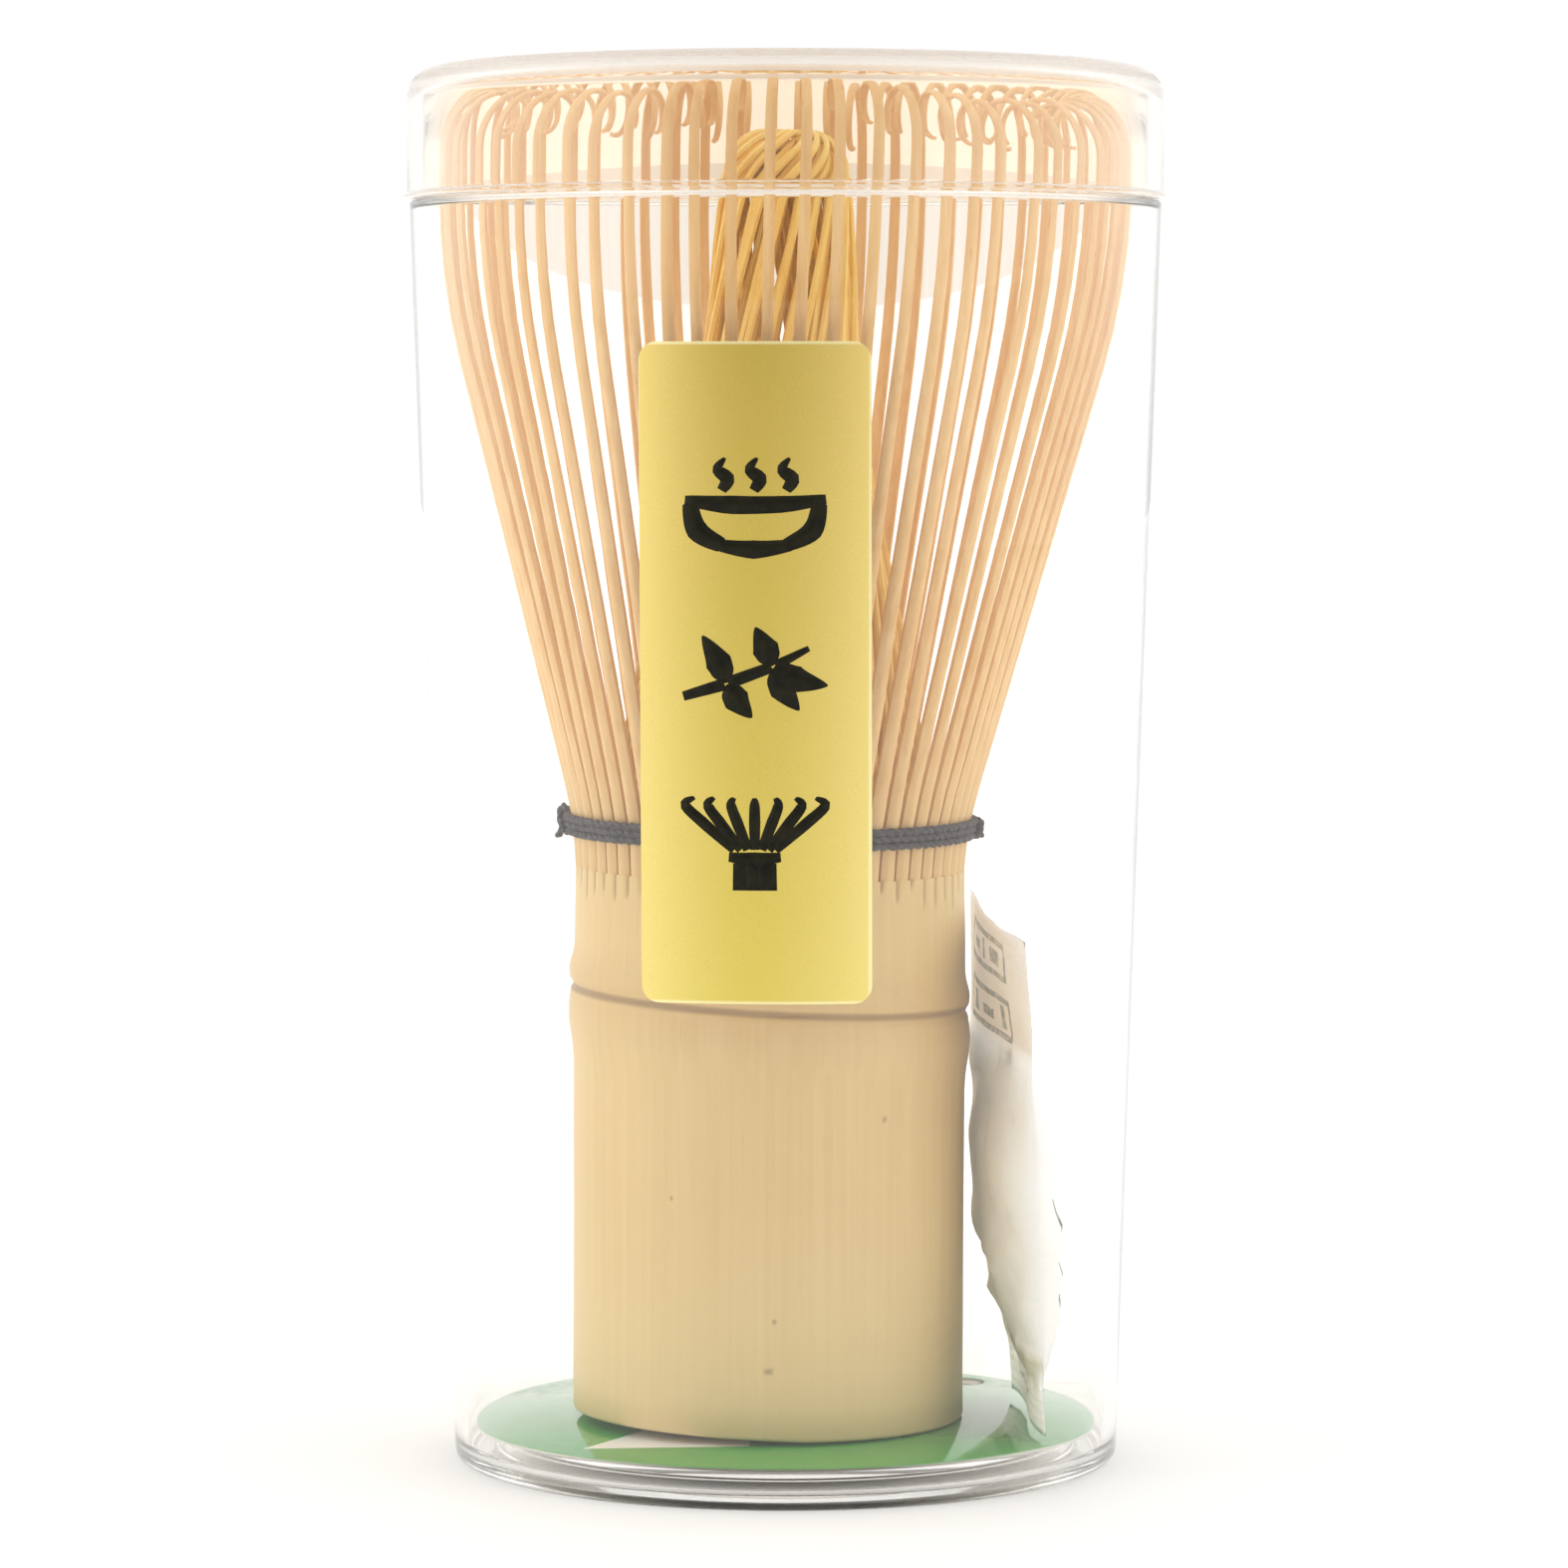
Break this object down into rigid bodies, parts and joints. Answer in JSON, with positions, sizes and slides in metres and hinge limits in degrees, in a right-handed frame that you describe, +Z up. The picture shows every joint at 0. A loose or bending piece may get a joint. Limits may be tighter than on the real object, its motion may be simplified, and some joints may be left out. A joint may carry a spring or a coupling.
{
  "type": "bamboo tea whisk in a clear case",
  "caption": "Bamboo tea whisk with hooked outer tines and a closed inner bundle, in a clear push-on-lid case with card, label and desiccant sachet.",
  "frame": {"origin": "centre of the case's foot ring, on the surface that it stands on", "axes": "+Z up along the case's axis, -Y towards the front with the label, +X to the right seen from the front"},
  "size_m": [0.065, 0.065, 0.1188],
  "materials": {
    "clear_case": "clear, thin-walled, glossy",
    "gold_label": "satin gold-coloured paper",
    "green_card": "glossy coated card",
    "sachet_paper": "soft porous paper",
    "desiccant": "silica gel beads",
    "bamboo_culm": "smooth peeled bamboo, satin",
    "outer_bamboo": "split and shaved bamboo, satin",
    "inner_bamboo": "split and shaved bamboo, satin",
    "thread": "twisted cotton thread"
  },
  "bodies": {
    "tub": {"case_tub": "clear_case", "front_label": "gold_label"},
    "card": {"base_card": "green_card"},
    "sachet": {"desiccant_sachet": "sachet_paper", "desiccant_beads": "desiccant"},
    "whisk": {"handle": "bamboo_culm", "binding_thread": "thread", "outer_tines_01": "outer_bamboo", "outer_tines_02": "outer_bamboo", "outer_tines_03": "outer_bamboo", "outer_tines_04": "outer_bamboo", "outer_tines_05": "outer_bamboo", "outer_tines_06": "outer_bamboo", "outer_tines_07": "outer_bamboo", "outer_tines_08": "outer_bamboo", "outer_tines_09": "outer_bamboo", "outer_tines_10": "outer_bamboo", "outer_tines_11": "outer_bamboo", "outer_tines_12": "outer_bamboo", "outer_tines_13": "outer_bamboo", "outer_tines_14": "outer_bamboo", "outer_tines_15": "outer_bamboo", "outer_tines_16": "outer_bamboo", "inner_tines_01": "inner_bamboo", "inner_tines_02": "inner_bamboo", "inner_tines_03": "inner_bamboo", "inner_tines_04": "inner_bamboo", "inner_tines_05": "inner_bamboo", "inner_tines_06": "inner_bamboo", "inner_tines_07": "inner_bamboo", "inner_tines_08": "inner_bamboo", "inner_tines_09": "inner_bamboo", "inner_tines_10": "inner_bamboo", "inner_tines_11": "inner_bamboo", "inner_tines_12": "inner_bamboo"},
    "lid": {"case_lid": "clear_case"}
  },
  "joints": [
    {"name": "card_lift", "type": "slide", "parent": "tub", "child": "card", "axis": [0, 0, 1], "range_m": [0, 0.12]},
    {"name": "sachet_lift", "type": "slide", "parent": "card", "child": "sachet", "axis": [0, 0, 1], "range_m": [0, 0.12]},
    {"name": "whisk_lift", "type": "slide", "parent": "sachet", "child": "whisk", "axis": [0, 0, 1], "range_m": [0, 0.125]},
    {"name": "lid_lift", "type": "slide", "parent": "whisk", "child": "lid", "axis": [0, 0, 1], "range_m": [0, 0.03]}
  ]
}
